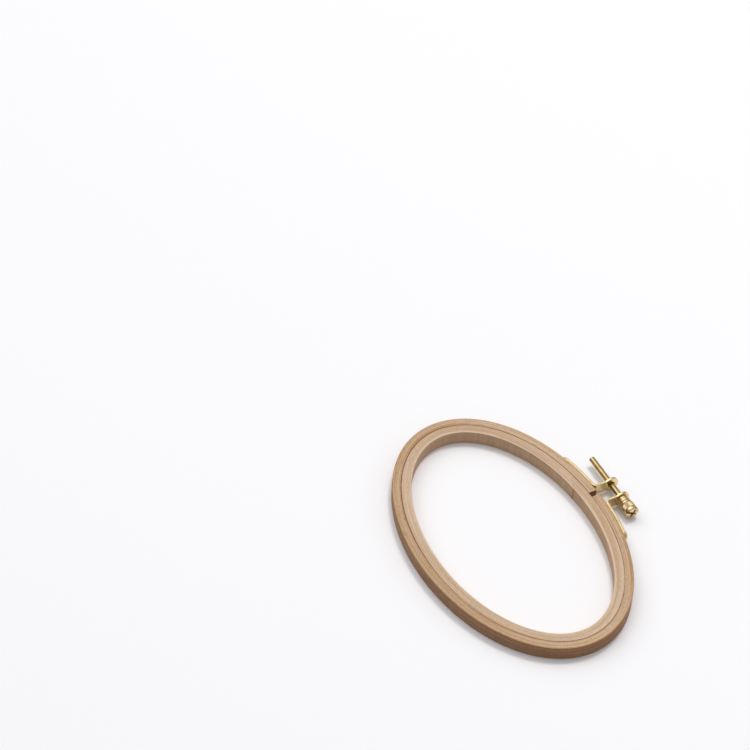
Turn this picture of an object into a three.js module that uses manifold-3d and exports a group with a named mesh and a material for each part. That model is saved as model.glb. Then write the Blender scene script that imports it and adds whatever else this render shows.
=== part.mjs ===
// Oval wooden embroidery hoop: a split outer ring with a brass tightening screw, and a plain inner ring.
// Millimetres, +Z up. The hoop lies flat: +X runs along the long axis, +Y points at the screw.

import * as THREE from 'three';
import { mergeVertices } from 'three/addons/utils/BufferGeometryUtils.js';
import Module from 'manifold-3d';

const wasm = await Module();
wasm.setup();

// Wooden rings: the seam is the oval line on which the two rings meet
const seamHalfLength = 76.6;
const seamHalfWidth = 48.0;
const ringHeight = 8.0;
const outerWall = 4.7;
const innerWall = 5.2;
const ringClearance = 0.3;
const edgeRound = 0.45;
const ringSteps = 96;

// Cut in the outer ring under the screw, and the flex line opposite it
const gapCentreX = -3.6;
const gapWidth = 3.0;
const flexWidth = 0.3;

// Brass brackets, one on each end of the outer ring, set a little above the middle of the wood
const sheet = 0.9;
const stripWidth = 6.4;
const bendRadius = 0.9;
const leftEarSetback = 2.5;
const rightEarSetback = 4.5;
const rivetDistance = 22.8;
const earReach = 10.3;
const lobeRadius = 4.2;
const axisRise = 0.5;
const stripSteps = 12;
const seatClearance = 0.1;

// Rivets
const rivetHeadRadius = 2.3;
const rivetHeadHeight = 1.1;
const rivetShankRadius = 0.9;
const rivetGrip = 3.2;
const holeClearance = 0.25;

// Tightening screw
const screwRadius = 1.6;
const earHoleClearance = 0.4;
const tailLength = 18.8;
const tipChamfer = 0.35;
const shankGrip = 6.5;
const roundSteps = 32;

// Knurled head, measured along the screw from the face that bears on the right ear
const headClearance = 0.3;
const collarRadius = 3.05;
const collarLength = 1.5;
const bandRadius = 3.25;
const bandLength = 1.25;
const bandCount = 2;
const knurlRadius = 3.4;
const knurlLength = 3.3;
const knurlDepth = 0.2;
const knurlRidges = 30;
const endRadius = 3.55;
const endLength = 2.1;
const grooveWidth = 0.3;
const grooveDepth = 0.35;
const endChamfer = 0.4;
const slotWidth = 1.1;
const slotDepth = 1.6;
const slotTurn = -31;
const centreHoleRadius = 0.75;
const centreHoleDepth = 2.0;

// Places that follow from the sizes
const axisHeight = ringHeight / 2 + axisRise;
const gapLeftX = gapCentreX - gapWidth / 2;
const gapRightX = gapCentreX + gapWidth / 2;
const stripOffset = outerWall + seatClearance;
const axisY = seamHalfWidth + outerWall + earReach;
const hingeY = -(seamHalfWidth + outerWall / 2);
const farY = -(seamHalfWidth + outerWall);
const screwHoleRadius = screwRadius + earHoleClearance;
const leftEar = { side: -1, face: -(gapLeftX - leftEarSetback) };
const rightEar = { side: 1, face: gapRightX + rightEarSetback };
const headStartX = rightEar.face + sheet + headClearance;
const tipX = -(leftEar.face + sheet + tailLength);

const beech = { color: 0xcfa67f, roughness: 0.6, metalness: 0.0 };
const paleBeech = { color: 0xd8b594, roughness: 0.6, metalness: 0.0 };
const brass = { color: 0xd6bb74, roughness: 0.3, metalness: 1.0 };
const goldBrass = { color: 0xdcb65a, roughness: 0.25, metalness: 1.0 };

// Point at the given distance outside the seam oval, at parameter angle t
function ovalPoint(t, offset) {
  const normal = ovalNormal(t);
  return new THREE.Vector2(seamHalfLength * Math.cos(t), seamHalfWidth * Math.sin(t))
    .addScaledVector(normal, offset);
}

function ovalNormal(t) {
  return new THREE.Vector2(seamHalfWidth * Math.cos(t), seamHalfLength * Math.sin(t)).normalize();
}

// Parameter angle at which the offset oval passes x, on the screw side (up) or the far side
function ovalAngle(x, offset, screwSide = true) {
  let low = 0;
  let high = Math.PI;
  for (let i = 0; i < 60; i += 1) {
    const middle = (low + high) / 2;
    if (ovalPoint(middle, offset).x > x) low = middle;
    else high = middle;
  }
  return screwSide ? low : -low;
}

function ovalRun(from, to, steps, offset) {
  return Array.from({ length: steps + 1 }, (_, i) => ovalPoint(from + (to - from) * i / steps, offset));
}

function arcRun(centre, radius, from, to, steps) {
  return Array.from({ length: steps + 1 }, (_, i) => {
    const angle = from + (to - from) * i / steps;
    return new THREE.Vector2(centre.x + radius * Math.cos(angle), centre.y + radius * Math.sin(angle));
  });
}

// Solids for joining and cutting
function toSolid(geometry) {
  const bare = geometry.clone();
  bare.deleteAttribute('normal');
  bare.deleteAttribute('uv');
  const merged = mergeVertices(bare, 1e-4);
  return new wasm.Manifold(new wasm.Mesh({
    numProp: 3,
    vertProperties: new Float32Array(merged.attributes.position.array),
    triVerts: new Uint32Array(merged.index.array),
  }));
}

function toGeometry(solid) {
  const mesh = solid.getMesh();
  const geometry = new THREE.BufferGeometry();
  geometry.setAttribute('position', new THREE.BufferAttribute(mesh.vertProperties, 3));
  geometry.setIndex(new THREE.BufferAttribute(mesh.triVerts, 1));
  geometry.computeVertexNormals();
  return geometry;
}

function node(name, geometry, finish) {
  const mesh = new THREE.Mesh(geometry, new THREE.MeshStandardMaterial(finish));
  mesh.name = name;
  return mesh;
}

// Wooden rings, with eased edges
function easedSlab(shape) {
  return new THREE.ExtrudeGeometry(shape, {
    depth: ringHeight - 2 * edgeRound,
    bevelEnabled: true,
    bevelThickness: edgeRound,
    bevelSize: edgeRound,
    bevelOffset: -edgeRound,
    bevelSegments: 1,
    steps: 1,
  }).translate(0, 0, edgeRound);
}

function innerRing() {
  const closedOval = (offset) => ovalRun(0, 2 * Math.PI, ringSteps, offset).slice(0, -1);
  const shape = new THREE.Shape(closedOval(-ringClearance / 2));
  shape.holes.push(new THREE.Path(closedOval(-innerWall)));
  return easedSlab(shape);
}

// One half of the outer ring, from the cut to the flex line, with the hole for its bracket's rivet
function outerHalf(side, ear) {
  const cutX = gapCentreX + side * gapWidth / 2;
  const flexX = gapCentreX + side * flexWidth / 2;
  const run = (offset) => {
    const start = ovalAngle(cutX, offset);
    const end = ovalAngle(flexX, offset, false) + (side < 0 ? 2 * Math.PI : 0);
    return ovalRun(start, end, ringSteps / 2, offset);
  };
  const shape = new THREE.Shape([...run(outerWall), ...run(ringClearance / 2).reverse()]);
  return toGeometry(toSolid(easedSlab(shape)).subtract(alongRivet(ear, rivetBore())));
}

// Place on the bracket's strip where the rivet sits, with its outward direction
function rivetPlace(ear) {
  const t = ovalAngle(ear.side * (ear.face + rivetDistance), stripOffset);
  return { point: ovalPoint(t, stripOffset), normal: ovalNormal(t) };
}

// Moves a geometry built on +Y, with its origin on the strip's inner face, to the rivet of this bracket
function alongRivet(ear, geometry) {
  const { point, normal } = rivetPlace(ear);
  geometry.rotateZ(Math.atan2(normal.y, normal.x) - Math.PI / 2);
  geometry.translate(point.x, point.y, axisHeight);
  return toSolid(geometry);
}

function rivetBore() {
  const depth = rivetGrip + seatClearance + holeClearance;
  const length = depth + 2 * sheet;
  const radius = rivetShankRadius + holeClearance;
  return new THREE.CylinderGeometry(radius, radius, length, roundSteps).translate(0, length / 2 - depth, 0);
}

function rivet(ear) {
  const seat = sheet + seatClearance;
  const profile = [
    new THREE.Vector2(0, -rivetGrip),
    new THREE.Vector2(rivetShankRadius, -rivetGrip),
    new THREE.Vector2(rivetShankRadius, seat),
  ];
  const domeSteps = 6;
  for (let i = 0; i <= domeSteps; i += 1) {
    const angle = i / domeSteps * Math.PI / 2;
    profile.push(new THREE.Vector2(rivetHeadRadius * Math.cos(angle), seat + rivetHeadHeight * Math.sin(angle)));
  }
  profile[profile.length - 1].x = 0;
  return toGeometry(alongRivet(ear, new THREE.LatheGeometry(profile, roundSteps)));
}

// Bracket: a strip along the ring's outer face, a bend, and a drilled ear with a round lobe
function bracket(ear) {
  const { side, face } = ear;
  const outerBend = bendRadius + sheet;
  const bendT = ovalAngle(side * (face + outerBend), stripOffset + outerBend);
  const bendCentre = ovalPoint(bendT, stripOffset + outerBend);
  const endT = ovalAngle(side * (face + rivetDistance + stripWidth / 2), stripOffset);
  const toEar = side > 0 ? Math.PI : 0;
  const toWood = Math.atan2(-ovalNormal(bendT).y, -ovalNormal(bendT).x) + (side > 0 ? 2 * Math.PI : 0);
  const bendSteps = 8;
  const outline = [
    new THREE.Vector2(side * face, axisY),
    ...arcRun(bendCentre, outerBend, toEar, toWood, bendSteps),
    ...ovalRun(bendT, endT, stripSteps, stripOffset).slice(1),
    ...ovalRun(endT, bendT, stripSteps, stripOffset + sheet).slice(0, -1),
    ...arcRun(bendCentre, bendRadius, toWood, toEar, bendSteps),
    new THREE.Vector2(side * (face + sheet), axisY),
  ];
  const strip = new THREE.ExtrudeGeometry(new THREE.Shape(outline), { depth: stripWidth, bevelEnabled: false })
    .translate(0, 0, axisHeight - stripWidth / 2);
  const lobeX = side * (face + sheet / 2);
  return toGeometry(toSolid(strip)
    .add(earDisc(lobeRadius, sheet, lobeX))
    .subtract(earDisc(screwHoleRadius, 3 * sheet, lobeX))
    .subtract(alongRivet(ear, rivetBore()))
    .subtract(stripCorners(ear)));
}

function earDisc(radius, thickness, x) {
  const disc = new THREE.CylinderGeometry(radius, radius, thickness, roundSteps).rotateZ(Math.PI / 2);
  return toSolid(disc.translate(x, axisY, axisHeight));
}

// What is cut off the strip beyond the rivet to leave a round end
function stripCorners(ear) {
  const reach = 2 * stripWidth;
  const block = new THREE.BoxGeometry(reach, 8 * sheet, reach).translate(ear.side * reach / 2, 0, 0);
  const round = new THREE.CylinderGeometry(stripWidth / 2, stripWidth / 2, 10 * sheet, roundSteps);
  return alongRivet(ear, block).subtract(alongRivet(ear, round));
}

// Turned pieces are drawn up +Y and laid along +X, on the screw's axis
function layOnAxis(geometry, x) {
  return geometry.rotateZ(-Math.PI / 2).translate(x, axisY, axisHeight);
}

function screwShank() {
  const length = headStartX + shankGrip - tipX;
  const profile = [
    new THREE.Vector2(0, 0),
    new THREE.Vector2(screwRadius - tipChamfer, 0),
    new THREE.Vector2(screwRadius, tipChamfer),
    new THREE.Vector2(screwRadius, length),
    new THREE.Vector2(0, length),
  ];
  return layOnAxis(new THREE.LatheGeometry(profile, roundSteps), tipX);
}

function headProfile() {
  const profile = [new THREE.Vector2(0, 0)];
  let y = 0;
  const band = (radius, length) => {
    profile.push(new THREE.Vector2(radius, y), new THREE.Vector2(radius, y + length));
    y += length;
  };
  band(collarRadius, collarLength);
  for (let i = 0; i < bandCount; i += 1) {
    band(bandRadius - grooveDepth, grooveWidth);
    band(bandRadius, bandLength);
  }
  band(knurlRadius - grooveDepth, grooveWidth);
  const knurlStart = y;
  band(knurlRadius - knurlDepth, knurlLength);
  band(endRadius - grooveDepth, grooveWidth);
  band(endRadius, endLength - endChamfer);
  y += endChamfer;
  profile.push(new THREE.Vector2(endRadius - endChamfer, y), new THREE.Vector2(0, y));
  return { profile, knurlStart, headLength: y };
}

function knurlBand(start) {
  const shape = new THREE.Shape();
  for (let i = 0; i < 2 * knurlRidges; i += 1) {
    const radius = i % 2 ? knurlRadius - knurlDepth : knurlRadius;
    const angle = i * Math.PI / knurlRidges;
    const point = [radius * Math.cos(angle), radius * Math.sin(angle)];
    if (i === 0) shape.moveTo(...point);
    else shape.lineTo(...point);
  }
  shape.closePath();
  return new THREE.ExtrudeGeometry(shape, { depth: knurlLength, bevelEnabled: false })
    .rotateX(-Math.PI / 2)
    .translate(0, start, 0);
}

function screwHead() {
  const { profile, knurlStart, headLength } = headProfile();
  const boreDepth = shankGrip + seatClearance;
  const boreRadius = screwRadius + seatClearance;
  const bore = new THREE.CylinderGeometry(boreRadius, boreRadius, 2 * boreDepth, roundSteps);
  const centreHole = new THREE.CylinderGeometry(centreHoleRadius, centreHoleRadius, 2 * centreHoleDepth, roundSteps)
    .translate(0, headLength, 0);
  let solid = toSolid(new THREE.LatheGeometry(profile, roundSteps))
    .add(toSolid(knurlBand(knurlStart)))
    .subtract(toSolid(bore))
    .subtract(toSolid(centreHole));
  for (const quarter of [0, 1]) {
    const slot = new THREE.BoxGeometry(slotWidth, 2 * slotDepth, 4 * endRadius)
      .rotateY(THREE.MathUtils.degToRad(slotTurn + 90 * quarter))
      .translate(0, headLength, 0);
    solid = solid.subtract(toSolid(slot));
  }
  return layOnAxis(toGeometry(solid), headStartX);
}

const hoop = new THREE.Group();
hoop.add(
  node('outer_ring_left', outerHalf(-1, leftEar), beech),
  node('outer_ring_right', outerHalf(1, rightEar), beech),
  node('inner_ring', innerRing(), paleBeech),
  node('left_bracket', bracket(leftEar), brass),
  node('right_bracket', bracket(rightEar), brass),
  node('left_rivet', rivet(leftEar), brass),
  node('right_rivet', rivet(rightEar), brass),
  node('screw_shank', screwShank(), goldBrass),
  node('screw_head', screwHead(), brass),
);

// The origin is the middle of the underside of the whole hoop, screw included
hoop.position.y = -(axisY + lobeRadius + farY) / 2;

console.log('hinge line at', gapCentreX, (hingeY + hoop.position.y).toFixed(3));
console.log('screw axis at y', (axisY + hoop.position.y).toFixed(3), 'z', axisHeight.toFixed(3));
console.log('screw runs from', tipX.toFixed(2), 'to head at', headStartX.toFixed(2));
console.log('screw axis from the hinge line', (axisY - hingeY).toFixed(3));

export default hoop;
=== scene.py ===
# Oval wooden embroidery hoop: split outer ring, inner ring, brass brackets and a knurled thumbscrew.
# Shapes are worked out in millimetres and scaled to metres when a mesh is made.
import math

import bmesh
import bpy
import numpy as np
from mathutils import Matrix, Vector, noise


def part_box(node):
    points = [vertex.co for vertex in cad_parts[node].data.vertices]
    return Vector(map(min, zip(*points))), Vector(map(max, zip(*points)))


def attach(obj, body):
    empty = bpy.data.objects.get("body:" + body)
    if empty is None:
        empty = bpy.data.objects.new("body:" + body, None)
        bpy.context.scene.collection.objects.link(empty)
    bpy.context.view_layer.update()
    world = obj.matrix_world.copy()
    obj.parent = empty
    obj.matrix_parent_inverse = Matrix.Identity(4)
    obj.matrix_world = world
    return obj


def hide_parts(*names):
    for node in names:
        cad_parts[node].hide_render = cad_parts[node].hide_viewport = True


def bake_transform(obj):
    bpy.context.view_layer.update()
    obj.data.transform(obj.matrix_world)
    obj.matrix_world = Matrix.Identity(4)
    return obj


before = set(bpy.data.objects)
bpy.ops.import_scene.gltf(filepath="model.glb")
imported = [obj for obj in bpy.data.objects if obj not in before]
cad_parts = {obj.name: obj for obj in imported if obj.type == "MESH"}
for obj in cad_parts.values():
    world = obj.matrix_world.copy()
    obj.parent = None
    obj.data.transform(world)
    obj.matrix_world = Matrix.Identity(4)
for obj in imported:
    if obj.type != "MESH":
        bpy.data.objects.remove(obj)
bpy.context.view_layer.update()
mm = 0.001


# Lowest and highest corner of a node, in millimetres
def nodeBox(node):
    return [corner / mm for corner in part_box(node)]


innerLow, innerHigh = nodeBox("inner_ring")
_, leftHigh = nodeBox("outer_ring_left")
rightLow, rightHigh = nodeBox("outer_ring_right")
shankLow, shankHigh = nodeBox("screw_shank")
headLow, headHigh = nodeBox("screw_head")
_, leftEarHigh = nodeBox("left_bracket")
rightEarLow, rightEarHigh = nodeBox("right_bracket")

# Both rings: the seam is the oval on which they meet
rings = {
    "clearance": 0.3,  # between the rings of the frame
    "seam": 0.09,  # between the rings here, where nothing widens it
    "innerWall": 5.2,  # thickness of the inner ring
    "gapWidth": 3.0,  # the cut under the screw
    "stations": 600,  # sections round the oval
    "cornerSteps": 5,
    "faceSteps": 6,
    "supportInset": 0.12,  # keeps a face flat right up to its roundings
    "sharpAngle": 50,
    "spreadAngle": 1.4,  # swing of the right half at the widest opening
    "swingSlack": 0.06,  # left free in the seam at that opening
    "closeShare": 0.85,  # how far the top edges are sharpened at the closest fit
    "closeTravel": 0.1,  # travel from which they are sharpened that far
    "blendInset": 0.1,  # the ring bends over the cut's width less this at each end
}
hoopCentreY = (innerLow.y + innerHigh.y) / 2
seamHalfLength = (innerHigh.x - innerLow.x) / 2 + rings["clearance"] / 2
seamHalfWidth = (innerHigh.y - innerLow.y) / 2 + rings["clearance"] / 2
ringHeight = innerHigh.z - innerLow.z
outerWall = rightHigh.x - seamHalfLength
gapCentreX = (leftHigh.x + rightLow.x) / 2
hingeY = hoopCentreY - seamHalfWidth - outerWall / 2
screwAxisY = (shankLow.y + shankHigh.y) / 2
screwAxisZ = (shankLow.z + shankHigh.z) / 2
print("hoop: seam half length", round(seamHalfLength, 2), "half width", round(seamHalfWidth, 2))


# Outward direction of the seam oval at angle t
def ovalNormal(t):
    normalX = seamHalfWidth * np.cos(t)
    normalY = seamHalfLength * np.sin(t)
    length = np.hypot(normalX, normalY)
    return normalX / length, normalY / length


# Point on the oval, moved outwards by offset
def ovalPoint(t, offset):
    normalX, normalY = ovalNormal(t)
    x = seamHalfLength * np.cos(t) + offset * normalX
    y = seamHalfWidth * np.sin(t) + offset * normalY + hoopCentreY
    return x, y


# Angle on the screw side at which the offset oval passes x, found by halving
def ovalAngle(x, offset):
    low, high = 0.0, math.pi
    for _ in range(50):
        middle = (low + high) / 2
        if ovalPoint(middle, offset)[0] > x:
            low = middle
        else:
            high = middle
    return low


# How far the right half moves in towards the inner ring when the cut is wide open
def swingTravel(t):
    x, y = ovalPoint(t, 0)
    normalX, normalY = ovalNormal(t)
    travel = math.radians(rings["spreadAngle"]) * (normalY * (x - gapCentreX) - normalX * (y - hingeY))
    return np.where(x > gapCentreX, np.maximum(travel, 0), 0)


# Sharpens a ring's top edge at the seam, where the right half swings towards the inner ring
def sharpened(t, offset, height, edge, rounding):
    slack = 0.001
    if abs(offset - edge) > rounding + slack or height < ringHeight - rounding - slack:
        return np.zeros_like(t), np.zeros_like(t)
    share = rings["closeShare"] * np.clip(swingTravel(t) / rings["closeTravel"], 0, 1)
    return share * (edge - offset), share * (ringHeight - height)


# A new object from points in millimetres
def meshObject(name, verts, faces):
    mesh = bpy.data.meshes.new(name)
    mesh.from_pydata([tuple(v) for v in np.asarray(verts) * mm], [], faces)
    piece = bpy.data.objects.new(name, mesh)
    bpy.context.scene.collection.objects.link(piece)
    return piece


def faceOutwards(piece):
    editor = bmesh.new()
    editor.from_mesh(piece.data)
    bmesh.ops.recalc_face_normals(editor, faces=editor.faces)
    editor.to_mesh(piece.data)
    editor.free()


# Smooth faces, with edges sharper than the angle kept crisp and flat faces kept flat
def finishShading(piece, sharpAngle):
    faceOutwards(piece)
    piece.data.polygons.foreach_set("use_smooth", [True] * len(piece.data.polygons))
    piece.data.set_sharp_from_angle(angle=math.radians(sharpAngle))
    weighted = piece.modifiers.new("flatFaces", "WEIGHTED_NORMAL")
    weighted.keep_sharp = True


# Cuts the cutters out of a piece and keeps the result as its mesh
def carve(piece, cutters):
    for cutter in cutters:
        cut = piece.modifiers.new("cut", "BOOLEAN")
        cut.operation = "DIFFERENCE"
        cut.solver = "EXACT"
        cut.object = cutter
    graph = bpy.context.evaluated_depsgraph_get()
    carved = bpy.data.meshes.new_from_object(piece.evaluated_get(graph))
    old = piece.data
    piece.modifiers.clear()
    piece.data = carved
    bpy.data.meshes.remove(old)
    for cutter in cutters:
        bpy.data.objects.remove(cutter)


# Faces of a grid of rows by columns, closed or open in each direction
def gridFaces(rows, columns, closeRows, closeColumns):
    faces = []
    for i in range(rows if closeRows else rows - 1):
        row, below = i * columns, (i + 1) % rows * columns
        for j in range(columns if closeColumns else columns - 1):
            right = (j + 1) % columns
            faces.append((row + j, row + right, below + right, below + j))
    return faces


# Section of a ring as (offset, height) points, with a rounding for each corner
def ringSection(innerOffset, outerOffset, innerRound, outerRound):
    corners = [
        (innerOffset + innerRound, innerRound, innerRound, 180),
        (outerOffset - outerRound, outerRound, outerRound, 270),
        (outerOffset - outerRound, ringHeight - outerRound, outerRound, 0),
        (innerOffset + innerRound, ringHeight - innerRound, innerRound, 90),
    ]
    inset = rings["supportInset"]
    points = []
    for index, (x, z, radius, start) in enumerate(corners):
        arc = []
        for step in range(rings["cornerSteps"] + 1):
            angle = math.radians(start + 90 * step / rings["cornerSteps"])
            arc.append((x + radius * math.cos(angle), z + radius * math.sin(angle)))
        points += arc
        nextX, nextZ, nextRadius, nextStart = corners[(index + 1) % len(corners)]
        turn = math.radians(nextStart)
        first = np.array(arc[-1])
        last = np.array((nextX + nextRadius * math.cos(turn), nextZ + nextRadius * math.sin(turn)))
        length = np.linalg.norm(last - first)
        shares = [inset / length, *np.linspace(0, 1, rings["faceSteps"])[1:-1], 1 - inset / length]
        points += [tuple(first + (last - first) * share) for share in shares]
    return points


# Sweeps a section round the oval; startAt and endAt give each offset's first and last angle
def sweepRing(name, section, startAt, endAt, closed, wave, detail):
    stations = np.linspace(0, 1, rings["stations"])
    rows, columns = len(section), len(stations)
    verts, grain = [], []
    for offset, height in section:
        t = startAt(offset) + (endAt(offset) - startAt(offset)) * stations
        seamX, seamY = ovalPoint(t, 0)
        along = np.concatenate([[0], np.cumsum(np.hypot(np.diff(seamX), np.diff(seamY)))])
        pushOut, pushUp = detail(t, along, offset, height)
        x, y = ovalPoint(t, offset + pushOut)
        z = np.full_like(t, height) + pushUp
        # The wood wavers slightly, always towards the seam and by less than half of it
        for k in range(columns):
            waver = noise.noise(Vector((x[k], y[k], offset * wave["across"])) * wave["frequency"])
            normalX, normalY = ovalNormal(t[k])
            push = (waver - 1) / 2 * wave["depth"] * (1 if offset > 0 else -1)
            verts.append((x[k] + normalX * push, y[k] + normalY * push, z[k]))
            grain.append((along[k], offset, height))
    faces = gridFaces(rows, columns, True, False)
    last = columns - 1
    if closed:
        for i in range(rows):
            row, below = i * columns, (i + 1) % rows * columns
            faces.append((row + last, row, below, below + last))
    else:
        faces.append([i * columns for i in range(rows)])
        faces.append([i * columns + last for i in reversed(range(rows))])
    piece = meshObject(name, verts, faces)
    corner = np.array([loop.vertex_index for loop in piece.data.loops])
    if closed:
        # The faces that close the joint keep the grain of the end that they start from
        closing = corner[-4 * rows:]
        closing[closing % columns == 0] += last
    coordinates = piece.data.attributes.new("grain", "FLOAT_VECTOR", "CORNER")
    coordinates.data.foreach_set("vector", np.array(grain, np.float32)[corner].ravel())
    cutFace = piece.data.attributes.new("cutFace", "FLOAT", "FACE")
    cutFace.data.foreach_set("value", [float(len(face.vertices) == rows) for face in piece.data.polygons])
    finishShading(piece, rings["sharpAngle"])
    return piece


outerRing = {
    "seamRound": 0.14,
    "wallRound": 0.42,
    "wave": {"frequency": 0.035, "depth": 0.04, "across": 3},
    "seamOpening": 0.2,  # at its widest, besides the room for the swing
    "seamOpenAt": 195,  # degrees round the oval
}


def makeOuterRing():
    halfGap, seamEdge = rings["gapWidth"] / 2, rings["seam"] / 2

    def startAt(offset):
        return ovalAngle(gapCentreX - halfGap, offset)

    def endAt(offset):
        return ovalAngle(gapCentreX + halfGap, offset) + 2 * math.pi

    # The seam is widest at the left end, and right of the cut it leaves room for the swing
    def opening(t, along, offset, height):
        turn = t - math.radians(outerRing["seamOpenAt"])
        onSeamSide = 1 if offset < outerWall / 2 else 0
        share = ((1 + np.cos(turn)) / 2) ** 2
        room = np.maximum(swingTravel(t) + rings["swingSlack"] - rings["seam"], 0)
        pushOut, pushUp = sharpened(t, offset, height, seamEdge, outerRing["seamRound"])
        return pushOut + onSeamSide * (outerRing["seamOpening"] * share + room), pushUp

    section = ringSection(seamEdge, outerWall, outerRing["seamRound"], outerRing["wallRound"])
    return sweepRing("outerRing", section, startAt, endAt, False, outerRing["wave"], opening)


innerRing = {
    "seamRound": 0.16,
    "wallRound": 0.34,
    "wave": {"frequency": 0.04, "depth": 0.04, "across": 3},
    "jointX": -10.6,  # where the glued joint meets the inner wall
    "jointSlant": 0.16,
    "jointGap": 0.0006,
    "stepDepth": 0.12,
    "stepFade": 5.0,
}


def makeInnerRing():
    inner, outer = -rings["innerWall"], -rings["seam"] / 2
    jointAngle = ovalAngle(innerRing["jointX"], inner)

    # The glued joint runs slantwise through the wall
    def startAt(offset):
        return jointAngle + innerRing["jointSlant"] * (offset - inner) / (outer - inner)

    def endAt(offset):
        return startAt(offset) + 2 * math.pi - innerRing["jointGap"]

    # One end of the strip stands a little proud on the inner wall
    def jointStep(t, along, offset, height):
        onInnerWall = 1 if offset < (inner + outer) / 2 else 0
        proud = innerRing["stepDepth"] * np.exp(-along / innerRing["stepFade"]) * onInnerWall
        pushOut, pushUp = sharpened(t, offset, height, outer, innerRing["seamRound"])
        return pushOut - proud, pushUp

    section = ringSection(inner, outer, innerRing["wallRound"], innerRing["seamRound"])
    return sweepRing("innerRing", section, startAt, endAt, True, innerRing["wave"], jointStep)


bracket = {
    "sheet": 1.3,
    "stripWidth": 6.4,
    "seatGap": 0.05,  # between the strip and the wood
    "earShift": 0.2,  # of each ear towards the cut, as this sheet is thicker than the frame's
    "bendRadius": 1.5,  # inside of the bend
    "rivetDistance": 22.8,  # along the hoop, from the ear
    "lobeFillet": 1.5,  # where the round lobe runs into the strip
    "holeRadius": 2.0,
    "edgeRound": 0.18,
    "edgeSteps": 5,
    "bendBulge": 0.12,  # swelling of the sheet's edges inside the bend
    "bulgeTail": 1.0,  # how far it goes on past the bend
    "bulgeFocus": 4,  # a higher power keeps it nearer to the edges
    "arcSteps": 14,
    "holeSteps": 48,
    "stripSteps": 60,
    "earPoints": 80,
    "bendPoints": 40,
    "woodPoints": 200,
    "sharpAngle": 40,
}
lobeRadius = (rightEarHigh.z - rightEarLow.z) / 2
stripOffset = outerWall + bracket["seatGap"]
leftEar = {
    "side": -1,
    "face": -leftEarHigh.x - bracket["earShift"],
    "node": "left_bracket",
    "body": "left_half",
}
rightEar = {
    "side": 1,
    "face": rightEarLow.x - bracket["earShift"],
    "node": "right_bracket",
    "body": "right_half",
}


# Plan of the sheet's wood side: its length from the screw axis, place and direction through the sheet
def bracketPath(ear):
    side, face = ear["side"], ear["face"]
    outerBend = bracket["bendRadius"] + bracket["sheet"]
    bendAngle = ovalAngle(side * (face + outerBend), stripOffset + outerBend)
    centreX, centreY = ovalPoint(bendAngle, stripOffset + outerBend)
    normalX, normalY = ovalNormal(bendAngle)
    points = []
    for y in np.linspace(screwAxisY + 2 * lobeRadius, centreY, bracket["earPoints"]):
        points.append((side * face, y, side, 0))
    toEar = math.pi if side > 0 else 0
    toWood = math.atan2(-normalY, -normalX) + (2 * math.pi if side > 0 else 0)
    for angle in np.linspace(toEar, toWood, bracket["bendPoints"])[1:]:
        dx, dy = math.cos(angle), math.sin(angle)
        points.append((centreX + outerBend * dx, centreY + outerBend * dy, -dx, -dy))
    farAngle = ovalAngle(side * (face + bracket["rivetDistance"] + bracket["stripWidth"]), stripOffset)
    for angle in np.linspace(bendAngle, farAngle, bracket["woodPoints"])[1:]:
        points.append((*ovalPoint(angle, stripOffset), *ovalNormal(angle)))
    points = np.array(points)
    length = np.concatenate([[0], np.cumsum(np.hypot(*np.diff(points[:, :2], axis=0).T))])
    return length - 2 * lobeRadius, points


def rivetPlace(ear):
    angle = ovalAngle(ear["side"] * (ear["face"] + bracket["rivetDistance"]), stripOffset)
    return ovalPoint(angle, stripOffset), ovalNormal(angle)


# Upper half of the flat pattern, from the lobe's tip to the round end: (u, halfWidth) and outward direction
def flatPattern(rivetAt):
    half, fillet, steps = bracket["stripWidth"] / 2, bracket["lobeFillet"], bracket["arcSteps"]
    filletU = math.sqrt((lobeRadius + fillet) ** 2 - (half + fillet) ** 2)
    filletAngle = math.atan2(half + fillet, filletU)
    points = []
    for angle in np.linspace(math.pi, filletAngle, 2 * steps):
        dx, dy = math.cos(angle), math.sin(angle)
        points.append((lobeRadius * dx, lobeRadius * dy, dx, dy))
    for angle in np.linspace(filletAngle + math.pi, 1.5 * math.pi, steps // 2)[1:]:
        dx, dy = math.cos(angle), math.sin(angle)
        points.append((filletU + fillet * dx, half + fillet + fillet * dy, -dx, -dy))
    for u in np.linspace(filletU, rivetAt, bracket["stripSteps"])[1:-1]:
        points.append((u, half, 0, 1))
    for angle in np.linspace(math.pi / 2, 0, steps):
        dx, dy = math.cos(angle), math.sin(angle)
        points.append((rivetAt + half * dx, half * dy, dx, dy))
    return np.array(points)


def holeCutter():
    radius, reach, steps = bracket["holeRadius"], 4 * bracket["sheet"], bracket["holeSteps"]
    angles = np.linspace(0, 2 * math.pi, steps + 1)[:-1]
    verts = [(radius * math.cos(a), radius * math.sin(a), z) for z in (-reach, reach) for a in angles]
    caps = [list(range(steps)), list(range(2 * steps - 1, steps - 1, -1))]
    return meshObject("holeCutter", verts, gridFaces(2, steps, False, True) + caps)


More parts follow.
